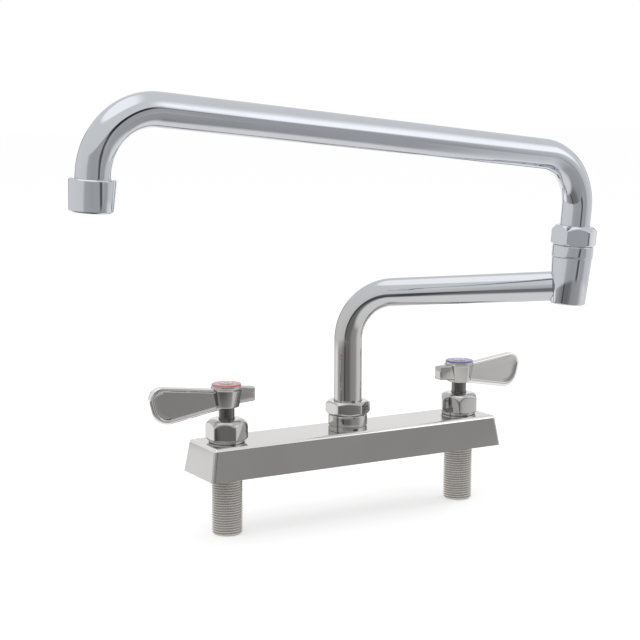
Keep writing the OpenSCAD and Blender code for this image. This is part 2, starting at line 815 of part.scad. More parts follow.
base_body();
shank(-1);  // hot_shank
shank(1);  // cold_shank
seat_seal(-1);  // hot_seat_seal
seat_seal(1);  // cold_seat_seal
fixed_disc(-1);  // hot_fixed_disc
fixed_disc(1);  // cold_fixed_disc
turning_disc(-1);  // hot_turning_disc
turning_disc(1);  // cold_turning_disc
cartridge(-1);  // hot_cartridge
cartridge(1);  // cold_cartridge
stem(-1);  // hot_stem
stem(1);  // cold_stem
stem_ring(-1);  // hot_stem_ring
stem_ring(1);  // cold_stem_ring
bonnet(-1);  // hot_bonnet
bonnet(1);  // cold_bonnet
lever(-1);  // hot_lever
lever(1);  // cold_lever
index_ring(-1);  // hot_index
index_ring(1);  // cold_index
screw(-1);  // hot_screw
screw(1);  // cold_screw
spout_seat();
hub_nut();
hub_washer();
lower_insert();
lower_rings();
lower_tube();
elbow_body();
elbow_band();
elbow_nut();
elbow_washer();
upper_insert();
upper_rings();
upper_tube();
aerator_housing();
aerator_washer();
flow_insert();
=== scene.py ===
# Deck-mount kitchen faucet with a double-jointed swing spout: its finished pieces and studio.
# Lengths are metres. Z is up, X runs from the hot to the cold valve, -Y faces the user.
import json
import math

import bmesh
import bpy
from bpy.props import FloatProperty, FloatVectorProperty, PointerProperty
from mathutils import Matrix, Vector


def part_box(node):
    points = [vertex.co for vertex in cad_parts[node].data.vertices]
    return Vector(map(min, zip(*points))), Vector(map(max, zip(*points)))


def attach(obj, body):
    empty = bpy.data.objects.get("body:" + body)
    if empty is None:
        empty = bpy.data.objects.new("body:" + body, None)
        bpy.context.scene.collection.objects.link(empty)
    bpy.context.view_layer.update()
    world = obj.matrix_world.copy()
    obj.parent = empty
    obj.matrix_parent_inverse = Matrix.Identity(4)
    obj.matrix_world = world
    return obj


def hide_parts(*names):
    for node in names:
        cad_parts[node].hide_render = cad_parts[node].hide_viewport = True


bl_info = {
    "name": "Swing spout faucet",
    "version": (1, 0, 0),
    "blender": (4, 5, 0),
    "location": "3D View > Sidebar > Faucet",
    "description": "Builds the finished pieces of a deck-mount faucet round its frame",
    "category": "Add Mesh",
}

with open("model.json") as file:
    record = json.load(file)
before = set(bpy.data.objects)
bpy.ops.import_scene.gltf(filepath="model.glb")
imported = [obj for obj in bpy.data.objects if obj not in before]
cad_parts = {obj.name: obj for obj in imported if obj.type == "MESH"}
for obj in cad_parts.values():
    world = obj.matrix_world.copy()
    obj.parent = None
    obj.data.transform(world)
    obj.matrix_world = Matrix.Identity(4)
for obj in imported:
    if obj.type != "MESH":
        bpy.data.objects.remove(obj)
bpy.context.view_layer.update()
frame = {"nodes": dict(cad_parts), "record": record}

MM = 0.001
SIDES = {"hot": -1, "cold": 1}
RECORD = frame["record"]
BODY_OF = {node: body for body, nodes in RECORD["behaviour"]["bodies"].items() for node in nodes}
SLOT_OF = {part["node"]: part["material_slot"] for part in RECORD["subparts"]}
BASE_LOW, BASE_HIGH = (Vector(corner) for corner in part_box("base_body"))
BASE = (BASE_HIGH - BASE_LOW) / MM  # its length, depth and height in millimetres
SHANK_LOW, SHANK_HIGH = (Vector(corner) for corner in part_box("cold_shank"))
SHANK_R = (SHANK_HIGH.x - SHANK_LOW.x) / 2
SHANK_TOP = -0.3 * MM

# Profiles are in millimetres, and so are these sizes that several of them share: the
# clearances of pieces that turn, fit or pass, and two places inside the base.
TURN_FIT = 0.08
FIT = 0.1
OPEN_FIT = 0.3
SEAT_R = 9.1
BOSS_TOP = 20.4


def length(name, description, millimetres):
    return FloatProperty(name=name, description=description, default=millimetres * MM, min=0.0,
                         precision=5, subtype="DISTANCE", unit="LENGTH")


def angle(name, description, degrees):
    return FloatProperty(name=name, description=description, default=math.radians(degrees),
                         subtype="ANGLE", unit="ROTATION")


def tint(name, description, red, green, blue):
    return FloatVectorProperty(name=name, description=description, size=3, min=0.0, max=1.0,
                               default=(red, green, blue), subtype="COLOR")


class FaucetBaseSizes(bpy.types.PropertyGroup):
    length: length("Length", "Length of the base at the deck", BASE.x)
    width: length("Width", "Depth of the base at the deck", BASE.y)
    height: length("Height", "Height of the base", 23.4)
    end_lean: length("End lean", "How far each end leans in from deck to top", 3.7)
    side_lean: length("Side lean", "How far the long sides lean in from deck to top", 2.8)
    edge: length("Edge rounding", "Rounding of the upper and upright edges", 2.1)
    wall: length("Wall", "Thickness of the side walls", 3)
    top_wall: length("Top wall", "Thickness of the top wall", 3.6)
    valve_x: length("Valve offset", "Distance from the middle to each valve axis", 101.6)
    chamber: length("Valve chamber", "Bore of the valve chambers", 18.8)
    pitch: length("Thread pitch", "Pitch of the shank threads", 1.814)
    thread_depth: length("Thread depth", "Depth of the shank threads", 1.0)


class FaucetBonnetSizes(bpy.types.PropertyGroup):
    flats: length("Flats", "Size of the hexagon across its flats", 26.9)
    foot: length("Foot", "Height of the bonnet's foot above the deck", 23.7)
    top: length("Top", "Height of the bonnet's top above the deck", 40.2)
    band: length("Band", "Height of the round band below the hexagon", 1.5)
    dome: length("Dome", "Radius of the domed shoulder", 6.15)
    stem: length("Stem", "Diameter of the stem", 11.4)
    hot_turn: angle("Hot turn", "Turn of the hot bonnet's flats about its axis", 28)
    cold_turn: angle("Cold turn", "Turn of the cold bonnet's flats about its axis", 59)


class FaucetLeverSizes(bpy.types.PropertyGroup):
    reach: length("Reach", "Distance from the valve axis to the blade's outer end", 59.3)
    stub: length("Stub", "Distance from the valve axis to the end of the rear stub", 21)
    blade: length("Blade thickness", "Thickness of the blade over its rims", 5.6)
    height: length("Blade height", "Height of the blade at its outer end", 27)
    rise: length("Blade rise", "How far the blade's upper corner stands above the hub", 2.7)
    corner: length("Upper corner", "Radius of the blade's upper outer corner", 9.5)
    low_corner: length("Lower corner", "Radius of the blade's lower outer corner", 12.5)
    root: length("Blade root", "Height of the blade at the hub", 15)
    rim: length("Rim", "Width of the blade's raised rim", 2.6)
    dish: length("Dish", "Depth of the hollow in each side of the blade", 1.1)
    hub: length("Hub height", "Height of the lever hub", 15.8)
    ring: length("Index ring", "Outside diameter of the index ring", 21.2)
    screw: length("Screw head", "Diameter of the handle screw's head", 9)
    rest: angle("Closed angle", "How far the closed levers point behind the valve line", 3)
    stem_top: length("Stem top", "Height of the hub's foot above the deck", 48.6)


class FaucetSpoutSizes(bpy.types.PropertyGroup):
    tube: length("Tube", "Outside diameter of the spout tube", 20.8)
    bend: length("Bend radius", "Radius of the bends on the tube axis", 37)
    riser_z: length("Riser foot", "Height of the riser tube's foot above the deck", 38)
    lower_z: length("Lower arm height", "Height of the lower arm's axis at the riser", 123.5)
    lower_l: length("Lower arm", "Length of the lower arm between its axes", 163)
    lower_rise: angle("Lower climb", "Angle by which the lower arm climbs", 4.6)
    lean: angle("Elbow lean", "Angle by which the elbow axis leans outwards", 4.2)
    upper_z: length("Upper arm height", "Height of the upper arm above the lower one", 88.9)
    upper_l: length("Upper arm", "Length of the upper arm between its axes", 368)
    upper_rise: angle("Upper climb", "Angle by which the upper arm climbs", 3.3)
    drop: length("Outlet drop", "Drop from the upper arm's axis to the outlet", 61.2)
    aerator: length("Aerator", "Height of the aerator housing", 19)
    swing: angle("Swing", "Swing of the lower arm as shown", -50)
    fold: angle("Fold", "Swing of the upper arm as shown", 232.6)
    collar: length("Collar", "Diameter of the collar under the hub nut", 29.4)
    hub_flats: length("Hub nut", "Size of the hub nut across its flats", 29.4)
    hub_turn: angle("Hub nut turn", "Turn of the hub nut's flats about its axis", 34)
    band: length("Elbow band", "Diameter of the band on the elbow", 28.6)
    elbow_flats: length("Elbow nut", "Size of the elbow nut across its flats", 28)
    elbow_turn: angle("Elbow nut turn", "Turn of the elbow nut's flats about its axis", 23)


class FaucetColours(bpy.types.PropertyGroup):
    base: tint("Base chrome", "Polished chrome of the base and levers", 0.56, 0.55, 0.535)
    nut: tint("Nut chrome", "Polished chrome of the nuts and bonnets", 0.62, 0.61, 0.6)
    # Painted light: the spout's chrome is the base's chrome coloured brighter and bluer, a lit
    # copy of it.
    spout: tint("Spout chrome", "Bright chrome of the spout", 0.72, 0.745, 0.79)
    shank: tint("Shank", "Dull plating of the threaded shanks", 0.77, 0.752, 0.728)
    # Painted shade: a darker colour at the roots of the shank threads.
    thread: tint("Thread roots", "Darker plating down in the threads", 0.44, 0.424, 0.41)
    # Painted highlight: a brighter colour on the rims and rounded edges.
    rim: tint("Rims", "Brighter chrome on rims and rounded edges", 0.92, 0.91, 0.89)
    # Painted shade: the riser's chrome coloured darker and warmer than the rest of the spout.
    riser: tint("Riser", "Warmer chrome low down on the spout", 0.6, 0.585, 0.57)
    brass: tint("Brass", "Bare brass of the hidden inserts", 0.68, 0.52, 0.26)
    stem: tint("Stem", "Dark steel of the valve stems", 0.2, 0.19, 0.19)
    steel: tint("Screw steel", "Bright steel of the handle screws", 0.66, 0.66, 0.65)
    hot: tint("Hot ring", "Dusty red of the hot index ring", 0.42, 0.13, 0.14)
    cold: tint("Cold ring", "Blue-violet of the cold index ring", 0.13, 0.11, 0.3)


class InMillimetres:
    """Reads the lengths of a property group in millimetres, for the profiles."""

    def __init__(self, group):
        self.group = group

    def __getattr__(self, name):
        return round(getattr(self.group, name) / MM, 4)


def math_method(operation, reflected=False):
    """A method of Value that makes a Math node."""
    def method(self, other):
        pair = (other, self) if reflected else (self, other)
        return self.work.math(operation, *pair)
    return method


class Value:
    """A shader socket that Python's operators turn into Math nodes."""

    def __init__(self, work, socket):
        self.work = work
        self.socket = socket

    __add__, __radd__ = math_method("ADD"), math_method("ADD", reflected=True)
    __sub__, __rsub__ = math_method("SUBTRACT"), math_method("SUBTRACT", reflected=True)
    __mul__, __rmul__ = math_method("MULTIPLY"), math_method("MULTIPLY", reflected=True)
    __truediv__, __rtruediv__ = math_method("DIVIDE"), math_method("DIVIDE", reflected=True)
    __pow__, __rpow__ = math_method("POWER"), math_method("POWER", reflected=True)


class NodeWork:
    """Builds the nodes of one material or world."""

    def __init__(self, owner):
        owner.use_nodes = True
        self.tree = owner.node_tree
        self.tree.nodes.clear()

    def node(self, kind, settings=None, **sockets):
        """A node with its settings made first, then the values or links of its sockets."""
        made = self.tree.nodes.new(kind)
        for name, setting in (settings or {}).items():
            if name == "stops":
                self.set_stops(made.color_ramp.elements, setting)
            else:
                setattr(made, name, setting)
        for name, value in sockets.items():
            self.feed(self.find(made, name), value)
        return made

    def find(self, node, name):
        key = name.replace("_", " ")
        for socket in node.inputs:
            if socket.name.lower() == key.lower() and socket.enabled:
                return socket
        raise KeyError(f"{node.bl_idname} has no input {name}")

    def feed(self, socket, value):
        if isinstance(value, Value):
            value = value.socket
        if isinstance(value, bpy.types.NodeSocket):
            self.tree.links.new(value, socket)
        else:
            socket.default_value = value

    def set_stops(self, ramp, stops):
        ramp.remove(ramp[-1])
        for k, (place, tone) in enumerate(stops):
            element = ramp.new(place) if k else ramp[0]
            element.position = place
            element.color = (tone, tone, tone, 1.0)

    def math(self, operation, *values, clamp=False):
        made = self.node("ShaderNodeMath", {"operation": operation, "use_clamp": clamp})
        for socket, value in zip(made.inputs, values):
            self.feed(socket, value)
        return Value(self, made.outputs[0])

    def value(self, node, output=0):
        return Value(self, node.outputs[output])

    def split(self, place):
        parts = self.node("ShaderNodeSeparateXYZ", Vector=place)
        return [self.value(parts, k) for k in range(3)]

    def noise(self, place, scale, detail):
        made = self.node("ShaderNodeTexNoise", Vector=place, Scale=scale, Detail=detail,
                         Roughness=0.55)
        return self.value(made)

    def band(self, value, low, high):
        """0 below low, 1 above high, and smooth between them."""
        made = self.node("ShaderNodeMapRange", {"interpolation_type": "SMOOTHSTEP"})
        for socket, part in zip(made.inputs, (value, low, high)):
            self.feed(socket, part)
        return self.value(made)

    def blend(self, factor, first, second):
        """The first colour where factor is 0, the second where it is 1."""
        made = self.node("ShaderNodeMix", {"data_type": "RGBA"})
        self.feed(made.inputs["Factor"], factor)
        self.feed(made.inputs[6], first)
        self.feed(made.inputs[7], second)
        return made.outputs[2]


def shades(colour, darker):
    """A colour and a slightly darker shade of it, for a Mix node."""
    return (*colour, 1.0), (*(part * darker for part in colour), 1.0)


def rim_highlight_mask(work, place):
    """1 on the rims and rounded edges that pieces mark, where a highlight is painted."""
    return work.value(work.node("ShaderNodeAttribute", {"attribute_name": "rim"}), "Fac")


def thread_root_shade_mask(work, place):
    """1 at the roots of the shank threads, where shade is painted, 0 on their crests."""
    x, y, _ = work.split(place)
    off = work.math("ABSOLUTE", x) - bpy.context.scene.faucet_base.valve_x
    reach = (off * off + y * y) ** 0.5
    return 1 - work.band(reach, SHANK_R - 0.9 * MM, SHANK_R - 0.1 * MM)


def riser_shade_mask(work, place):
    """1 on the riser, where the chrome is painted darker and warmer as shade, 0 from the lower
    arm up.
    """
    return 1 - work.band(work.split(place)[2], 0.08, 0.15)


def principled(name, colour, roughness, metallic=1.0, coat=0.0, bump=0.0, spread=0.04,
               darker=0.9, other=None, where=None):
    """A finish whose tone and roughness drift a little, with another colour where asked."""
    material = bpy.data.materials.get(name) or bpy.data.materials.new(name)
    work = NodeWork(material)
    place = work.node("ShaderNodeTexCoord").outputs["Object"]
    drift = work.noise(place, scale=28.0, detail=3.0)
    fine = work.noise(place, scale=2200.0, detail=2.0)
    hue = work.blend(drift, *shades(colour, darker))
    if where:
        hue = work.blend(where(work, place), hue, (*other, 1.0))
    shader = work.node("ShaderNodeBsdfPrincipled", Metallic=metallic, IOR=1.5, Base_Color=hue,
                       Roughness=roughness + (drift - 0.5) * spread + (fine - 0.5) * spread)
    if coat:
        shader.inputs["Coat Weight"].default_value = coat
        shader.inputs["Coat Roughness"].default_value = 0.08
    if bump:
        raised = work.node("ShaderNodeBump", Strength=bump, Distance=0.0001, Height=fine)
        work.feed(shader.inputs["Normal"], raised.outputs["Normal"])
    work.node("ShaderNodeOutputMaterial", Surface=shader.outputs[0])


def profile_points(corners):
    """Points of a profile given as (r, z) or (r, z, rounding) corners, in millimetres."""
    steps = 5
    points = []
    for k, corner in enumerate(corners):
        here = Vector(corner[:2])
        rounding = corner[2] if len(corner) > 2 else 0
        if not rounding:
            points.append(here)
            continue
        back = (Vector(corners[k - 1][:2]) - here).normalized()
        ahead = (Vector(corners[(k + 1) % len(corners)][:2]) - here).normalized()
        half = back.angle(ahead) / 2
        centre = here + (back + ahead).normalized() * (rounding / math.sin(half))
        first = here + back * (rounding / math.tan(half)) - centre
        last = here + ahead * (rounding / math.tan(half)) - centre
        start = math.atan2(first.y, first.x)
        sweep = math.remainder(math.atan2(last.y, last.x) - start, math.tau)
        points += [centre + rounding * Vector((math.cos(start + sweep * n / steps),
                                               math.sin(start + sweep * n / steps)))
                   for n in range(steps + 1)]
    return points


def finer(points, step):
    """The same profile with no stretch longer than step, in millimetres."""
    out = []
    for here, after in zip(points, points[1:]):
        count = max(1, math.ceil((after - here).length / step))
        out += [here.lerp(after, n / count) for n in range(count)]
    return out + [points[-1]]


def turned(corners, steps=96, row=None):
    """Turns a profile round Z. One that starts and ends on the axis needs no closing edge.

    row is the longest stretch that the profile may have, in millimetres.
    """
    points = profile_points(corners)
    loop = points[0].x > 1e-6 or points[-1].x > 1e-6
    if loop:
        points.append(points[0])
    if row:
        points = finer(points, row)
    if loop:
        points.pop()
    shape = bmesh.new()
    verts = [shape.verts.new((p.x * MM, 0, p.y * MM)) for p in points]
    edges = [shape.edges.new(pair) for pair in zip(verts, verts[1:])]
    if loop:
        edges.append(shape.edges.new((verts[-1], verts[0])))
    bmesh.ops.spin(shape, geom=verts + edges, cent=(0, 0, 0), axis=(0, 0, 1), angle=math.tau,
                   steps=steps, use_merge=True)
    bmesh.ops.remove_doubles(shape, verts=shape.verts[:], dist=1e-7)
    outwards(shape)
    return shape


def hexed(shape, flats, turn, soft):
    """Draws a turned shape in to a hexagon with slightly crowned flats, flats(z) across.

    soft is how gently the flats meet the turned form. What lies well inside stays round.
    """
    crown = 0.014
    inside = 0.82
    for vert in shape.verts:
        radius = math.hypot(vert.co.x, vert.co.y) / MM
        apothem = flats(vert.co.z / MM) / 2
        if radius < apothem * inside:
            continue
        bearing = math.atan2(vert.co.y, vert.co.x) - turn - math.pi / 6
        off = math.remainder(bearing, math.pi / 3)
        swell = 1 + crown * (1 - (off / (math.pi / 6)) ** 2)
        limit = apothem * swell / math.cos(off)
        drawn = (radius + limit - math.hypot(radius - limit, 2 * soft)) / 2
        vert.co.xy *= drawn / radius


def hex_nut(flats, turn, hole, thread, chamfer, corner, top_r, foot, chamfer_top, shoulder, lip,
            top, soft):
    """A nut with a chamfer below, rounded off by soft above, in millimetres."""
    shape = turned([(thread, foot), (chamfer, foot), (corner, chamfer_top), (corner, shoulder),
                    (top_r, top, soft), (hole, top, 0.3), (hole, lip), (thread, lip)],
                   steps=240, row=0.7)
    hexed(shape, lambda z: flats, turn, soft=0.2)
    return shape


def join(shape, other):
    """Adds another shape to this one."""
    mesh = bpy.data.meshes.new("passing")
    other.to_mesh(mesh)
    other.free()
    shape.from_mesh(mesh)
    bpy.data.meshes.remove(mesh)


def bevel(shape, edges, offset, segments, clamp=False):
    """Rounds edges, offset as far on both of their faces."""
    bmesh.ops.bevel(shape, geom=edges, offset=offset, offset_type="OFFSET", segments=segments,
                    profile=0.5, affect="EDGES", material=-1, clamp_overlap=clamp)


def outwards(shape):
    """Turns every face outwards."""
    bmesh.ops.recalc_face_normals(shape, faces=shape.faces[:])


def cuboid(size):
    """A box round the origin, in metres."""
    shape = bmesh.new()
    bmesh.ops.create_cube(shape, size=1.0)
    bmesh.ops.scale(shape, verts=shape.verts[:], vec=size)
    return shape


def block(size, centre, edge, taper):
    """A box with bevelled edges, in millimetres. taper narrows the end that faces -X."""
    shape = cuboid([part * MM for part in size])
    for vert in shape.verts:
        if vert.co.x < 0:
            vert.co.y *= taper
            vert.co.z *= taper
    shape.transform(shift(*(part * MM for part in centre)))
    bevel(shape, shape.edges[:], edge * MM, segments=3)
    return shape


def everything(shape):
    return shape.verts[:] + shape.edges[:] + shape.faces[:]


def verts_in(geometry):
    """The vertices in the mixed list that an operator gives back."""
    return [item for item in geometry if isinstance(item, bmesh.types.BMVert)]


def edges_in(geometry):
    """The edges in the mixed list that an operator gives back."""
    return [item for item in geometry if isinstance(item, bmesh.types.BMEdge)]


def sharp_edges(shape, least):
    """Edges between two faces that turn by more than least, in degrees."""
    return [edge for edge in shape.edges
            if len(edge.link_faces) == 2 and edge.calc_face_angle() > math.radians(least)]


def placed(name, data):
    """A new object in the scene that shows a mesh, a lamp or a camera."""
    obj = bpy.data.objects.new(name, data)
    bpy.context.scene.collection.objects.link(obj)
    return obj


def piece(shape, node, place=Matrix(), sharp=38, name=None, finish=None, flats=None):
    """Puts a finished shape in place of a CAD node, on its body and with its finish.

    Faces above flats, in square millimetres, are shaded flat. Faces with material index 1
    are rims, where base and lever chrome paint a highlight.
    """
    finish = finish or SLOT_OF[node]
    shape.transform(place)
    # The rim attribute marks where a highlight is painted.
    rim = shape.faces.layers.float.new("rim")
    for face in shape.faces:
        face.smooth = not flats or face.calc_area() < flats * MM * MM
        face[rim] = face.material_index
        face.material_index = 0
    for edge in sharp_edges(shape, sharp):
        edge.smooth = False
    mesh = bpy.data.meshes.new(name or f"fine_{node}")
    shape.to_mesh(mesh)
    shape.free()
    obj = placed(mesh.name, mesh)
    mesh.materials.append(bpy.data.materials[finish])
    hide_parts(node)
    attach(obj, BODY_OF[node])


def carve(shape, cutter):
    """Cuts one closed shape out of another and gives back what is left."""
    rough, tool = (placed(name, bpy.data.meshes.new(name)) for name in ("rough", "cutter"))
    for obj, source in ((rough, shape), (tool, cutter)):
        source.to_mesh(obj.data)
        source.free()
    cut = rough.modifiers.new("cut", "BOOLEAN")
    cut.operation = "DIFFERENCE"
    cut.solver = "EXACT"
    cut.object = tool
    ready = rough.evaluated_get(bpy.context.evaluated_depsgraph_get())
    result = bpy.data.meshes.new_from_object(ready)
    left = bmesh.new()
    left.from_mesh(result)
    for mesh in (result, rough.data, tool.data):
        bpy.data.meshes.remove(mesh)
    if not left.faces:
        raise RuntimeError("a cut left nothing")
    return left


def shift(x=0, y=0, z=0):
    return Matrix.Translation((x, y, z))


def at_valve(side):
    return shift(side * bpy.context.scene.faucet_base.valve_x)


def spout_places():
    """Matrices at the lower arm's foot, the elbow, the upper tube and the outlet."""
    sizes = bpy.context.scene.faucet_spout
    swing = Matrix.Rotation(sizes.swing, 4, "Z")
    arm_end = swing @ shift(sizes.lower_l * math.cos(sizes.lower_rise), 0,
                            sizes.lower_z + sizes.lower_l * math.sin(sizes.lower_rise))
    elbow = arm_end @ Matrix.Rotation(sizes.lean, 4, "Y")
    upper = elbow @ Matrix.Rotation(sizes.fold, 4, "Z")
    level = sizes.upper_z + sizes.upper_l * math.sin(sizes.upper_rise) - sizes.drop
    outlet = upper @ shift(sizes.upper_l * math.cos(sizes.upper_rise), 0, level)
    return swing, elbow, upper, outlet


class FAUCET_OT_finishes(bpy.types.Operator):
    """Makes every finish and dresses the CAD nodes that stay"""

    bl_idname = "faucet.finishes"
    bl_label = "Finishes"

    def execute(self, context):
        hues = context.scene.faucet_colours
        # Base and lever chrome get a painted highlight on their rims.
        principled("base_chrome", hues.base, 0.07, spread=0.02, other=hues.rim, where=rim_highlight_mask)
        principled("nut_chrome", hues.nut, 0.05, spread=0.02)
        # The spout chrome is a painted lit copy of the base chrome, with painted shade on the
        # riser.
        principled("spout_chrome", hues.spout, 0.035, spread=0.015, other=hues.riser,
                   where=riser_shade_mask)
        principled("lever_chrome", hues.base, 0.07, spread=0.03, other=hues.rim, where=rim_highlight_mask)
        # The shank's thread roots get painted shade.
        principled("shank_brass", hues.shank, 0.28, spread=0.08, other=hues.thread,
                   where=thread_root_shade_mask)
        principled("bare_brass", hues.brass, 0.25, spread=0.1)
        principled("stem_steel", hues.stem, 0.22, spread=0.08)
        principled("screw_steel", hues.steel, 0.2, spread=0.06)
        principled("seal_rubber", (0.03, 0.03, 0.032), 0.65, metallic=0.0, bump=0.3)
        principled("disc_ceramic", (0.82, 0.81, 0.78), 0.15, metallic=0.0, coat=0.3)
        principled("slip_plastic", (0.8, 0.78, 0.72), 0.5, metallic=0.0)
        principled("flow_plastic", (0.78, 0.78, 0.76), 0.45, metallic=0.0)
        principled("hot_red", hues.hot, 0.3, metallic=0.0, coat=0.4, darker=0.85)
        principled("cold_blue", hues.cold, 0.3, metallic=0.0, coat=0.4, darker=0.85)
        for node, obj in frame["nodes"].items():
            obj.data.materials.clear()
            obj.data.materials.append(bpy.data.materials[SLOT_OF[node]])
        return {"FINISHED"}


def casting(sizes):
    """The rounded outer block, hollow from below and open for the seat and the valves."""
    shape = leaning(sizes.length, sizes.width, 0.0, sizes.height, sizes.end_lean,
                    sizes.side_lean)
    outer = [edge for edge in shape.edges
             if max(vert.co.z for vert in edge.verts) > sizes.height / 2]
    bevel(shape, outer, sizes.edge, segments=5)
    depth = sizes.height - sizes.top_wall
    share = depth / sizes.height
    shape = carve(shape, leaning(
        sizes.length - 2 * sizes.wall, sizes.width - 2 * sizes.wall, -1 * MM, depth,
        sizes.end_lean * share, sizes.side_lean * share))
    holes = plug(Matrix(), SEAT_R)
    for side in SIDES.values():
        join(holes, plug(at_valve(side), InMillimetres(sizes).chamber / 2))
    return carve(shape, holes)


def leaning(length, width, low, high, ends, sides):
    """A block whose ends and long sides lean in from bottom to top."""
    shape = cuboid((length, width, high - low))
    shape.transform(shift(z=(high + low) / 2))
    for vert in shape.verts:
        if vert.co.z > (high + low) / 2:
            vert.co.x -= math.copysign(ends, vert.co.x)
            vert.co.y -= math.copysign(sides, vert.co.y)
    return shape


def plug(place, radius):
    """A round plug that reaches through the top wall."""
    low, high = 15.0, 40.0
    shape = turned([(0, low), (radius, low), (radius, high), (0, high)])
    shape.transform(place)
    return shape


def valve_bosses(mm):
    """A boss, a threaded neck, a valve chamber and a shank socket on each valve axis."""
    boss, neck, neck_top = 14.0, 12.2, 30.8
    chamber, floor, port = mm.chamber / 2, 8.0, 4.5
    socket, socket_top = 10.0, 6.0
    shape = bmesh.new()
    for side in SIDES.values():
        boss_shape = turned([
            (socket, 0, 0.4), (boss, 0, 0.4), (boss, BOSS_TOP), (neck, BOSS_TOP),
            (neck, neck_top, 0.5), (chamber, neck_top), (chamber, floor), (port, floor),
            (port, socket_top), (socket, socket_top)])
        boss_shape.transform(at_valve(side))
        join(shape, boss_shape)
    return shape


def seat_boss():
    """The boss that holds the spout's seat."""
    boss, floor = 12.5, 17.3
    water, water_floor = 6.5, 13
    return turned([(0, 0), (boss, 0, 0.4), (boss, BOSS_TOP), (SEAT_R, BOSS_TOP),
                   (SEAT_R, floor), (water, floor), (water, water_floor), (0, water_floor)])


def channel():
    """The mixing channel from valve to valve."""
    bore, outer, end, height = 4.5, 7.5, 92.0, 13.1
    shape = turned([(bore, -end), (outer, -end), (outer, end), (bore, end)])
    shape.transform(shift(z=height * MM) @ Matrix.Rotation(math.pi / 2, 4, "Y"))
    return shape


class FAUCET_OT_base(bpy.types.Operator):
    """Builds the base casting with its rounded edges, hollow underside and bosses"""

    bl_idname = "faucet.base"
    bl_label = "Base"

    def execute(self, context):
        sizes = context.scene.faucet_base
        shape = casting(sizes)
        wide = 400  # square millimetres, less than each flat side of the base
        # The small faces of the upper rounded edges get the painted rim highlight.
        for face in shape.faces:
            low = min(vert.co.z for vert in face.verts)
            if face.calc_area() < wide * MM * MM and low > sizes.height - 1.1 * sizes.edge:
                face.material_index = 1
        piece(shape, "base_body", sharp=30, flats=wide)
        inside = valve_bosses(InMillimetres(sizes))
        join(inside, seat_boss())
        join(inside, channel())
        piece(inside, "base_body", name="fine_base_bosses")
        return {"FINISHED"}


def shank_threads(sizes):
    """A spiral of ridges that runs past both ends of the shank."""
    steps = 60
    root = SHANK_R - sizes.thread_depth
    ridge = [(root, 0.0), (root, 0.1), (SHANK_R, 0.42), (SHANK_R, 0.58), (root, 0.9),
             (root, 1.0)]
    start = SHANK_LOW.z - 1.5 * sizes.pitch
    shape = bmesh.new()
    verts = [shape.verts.new((r, 0, start + part * sizes.pitch)) for r, part in ridge]
    edges = [shape.edges.new(pair) for pair in zip(verts, verts[1:])]
    bmesh.ops.spin(shape, geom=verts + edges, cent=(0, 0, 0), axis=(0, 0, 1),
                   angle=math.tau, steps=steps, dvec=(0, 0, sizes.pitch / steps))
    first = everything(shape)
    for turn in range(1, math.ceil((SHANK_TOP - SHANK_LOW.z) / sizes.pitch) + 3):
        copy = bmesh.ops.duplicate(shape, geom=first)["geom"]
        bmesh.ops.translate(shape, vec=(0, 0, turn * sizes.pitch), verts=verts_in(copy))
    bmesh.ops.remove_doubles(shape, verts=shape.verts[:], dist=2e-6)
    return shape


def narrow_foot(shape):
    """Draws the ridges in towards the foot, as a chamfer does."""
    for vert in shape.verts:
        radius = math.hypot(vert.co.x, vert.co.y)
        limit = max(SHANK_R - 1.2 * MM + (vert.co.z - SHANK_LOW.z), 0.6 * SHANK_R)
        if radius > limit:
            vert.co.xy *= limit / radius


def finish_ends(shape):
    """Cuts both ends level, bores the foot and closes the shape."""
    bore, deep = 7.0 * MM, 40 * MM
    for level, up, depths in ((SHANK_LOW.z, -1, (0.0, deep)), (SHANK_TOP, 1, ())):
        cut = bmesh.ops.bisect_plane(shape, geom=everything(shape), plane_co=(0, 0, level),
                                     plane_no=(0, 0, up), clear_outer=True)
        rim = edges_in(cut["geom_cut"])
        for depth in depths:
            grown = bmesh.ops.extrude_edge_only(shape, edges=rim)["geom"]
            rim = edges_in(grown)
            for vert in verts_in(grown):
                vert.co.xy *= bore / math.hypot(vert.co.x, vert.co.y)
                vert.co.z += depth
        bmesh.ops.edgeloop_fill(shape, edges=rim)
    outwards(shape)


class FAUCET_OT_shanks(bpy.types.Operator):
    """Builds the threaded supply shanks"""

    bl_idname = "faucet.shanks"
    bl_label = "Shanks"

    def execute(self, context):
        for name, side in SIDES.items():
            shank = shank_threads(context.scene.faucet_base)
            narrow_foot(shank)
            finish_ends(shank)
            piece(shank, f"{name}_shank", at_valve(side), sharp=50)
        return {"FINISHED"}


def domed_bonnet(mm, turn):
    """The hexagon, round below and domed above, and hollow over the neck."""
    hex_z = mm.foot + mm.band
    corner, chamfer, chamfer_top = 15.53, 13.9, hex_z + 1.1
    round_r = mm.flats / 2 - 0.3
    hole, gland, gland_top = mm.stem / 2 + OPEN_FIT, 9.5, 36.5
    thread, thread_top = 12.4, 33.4
    shape = turned([(thread, mm.foot), (round_r, mm.foot, 0.3), (round_r, hex_z),
                    (chamfer, hex_z), (corner, chamfer_top), (corner, mm.top - 6.2),
                    (corner, mm.top, mm.dome), (hole, mm.top, 0.5), (hole, gland_top),
                    (gland, gland_top), (gland, thread_top), (thread, thread_top)],
                   steps=240, row=0.7)
    hexed(shape, lambda z: mm.flats if z > hex_z - 0.2 else 40.0, turn, soft=0.22)
    return shape


def valve_stem(mm, lever_z):
    """The stem with its foot below and the drive for the lever on top."""
    stem = mm.stem / 2
    foot, foot_z, foot_top = 8.2, 16.1, 19.4
    drive, drive_top = 4.0, lever_z + 8.4
    return turned([(0, foot_z), (foot, foot_z, 0.3), (foot, foot_top, 0.3),
                   (stem, foot_top), (stem, lever_z), (drive, lever_z),
                   (drive, drive_top), (0, drive_top)])


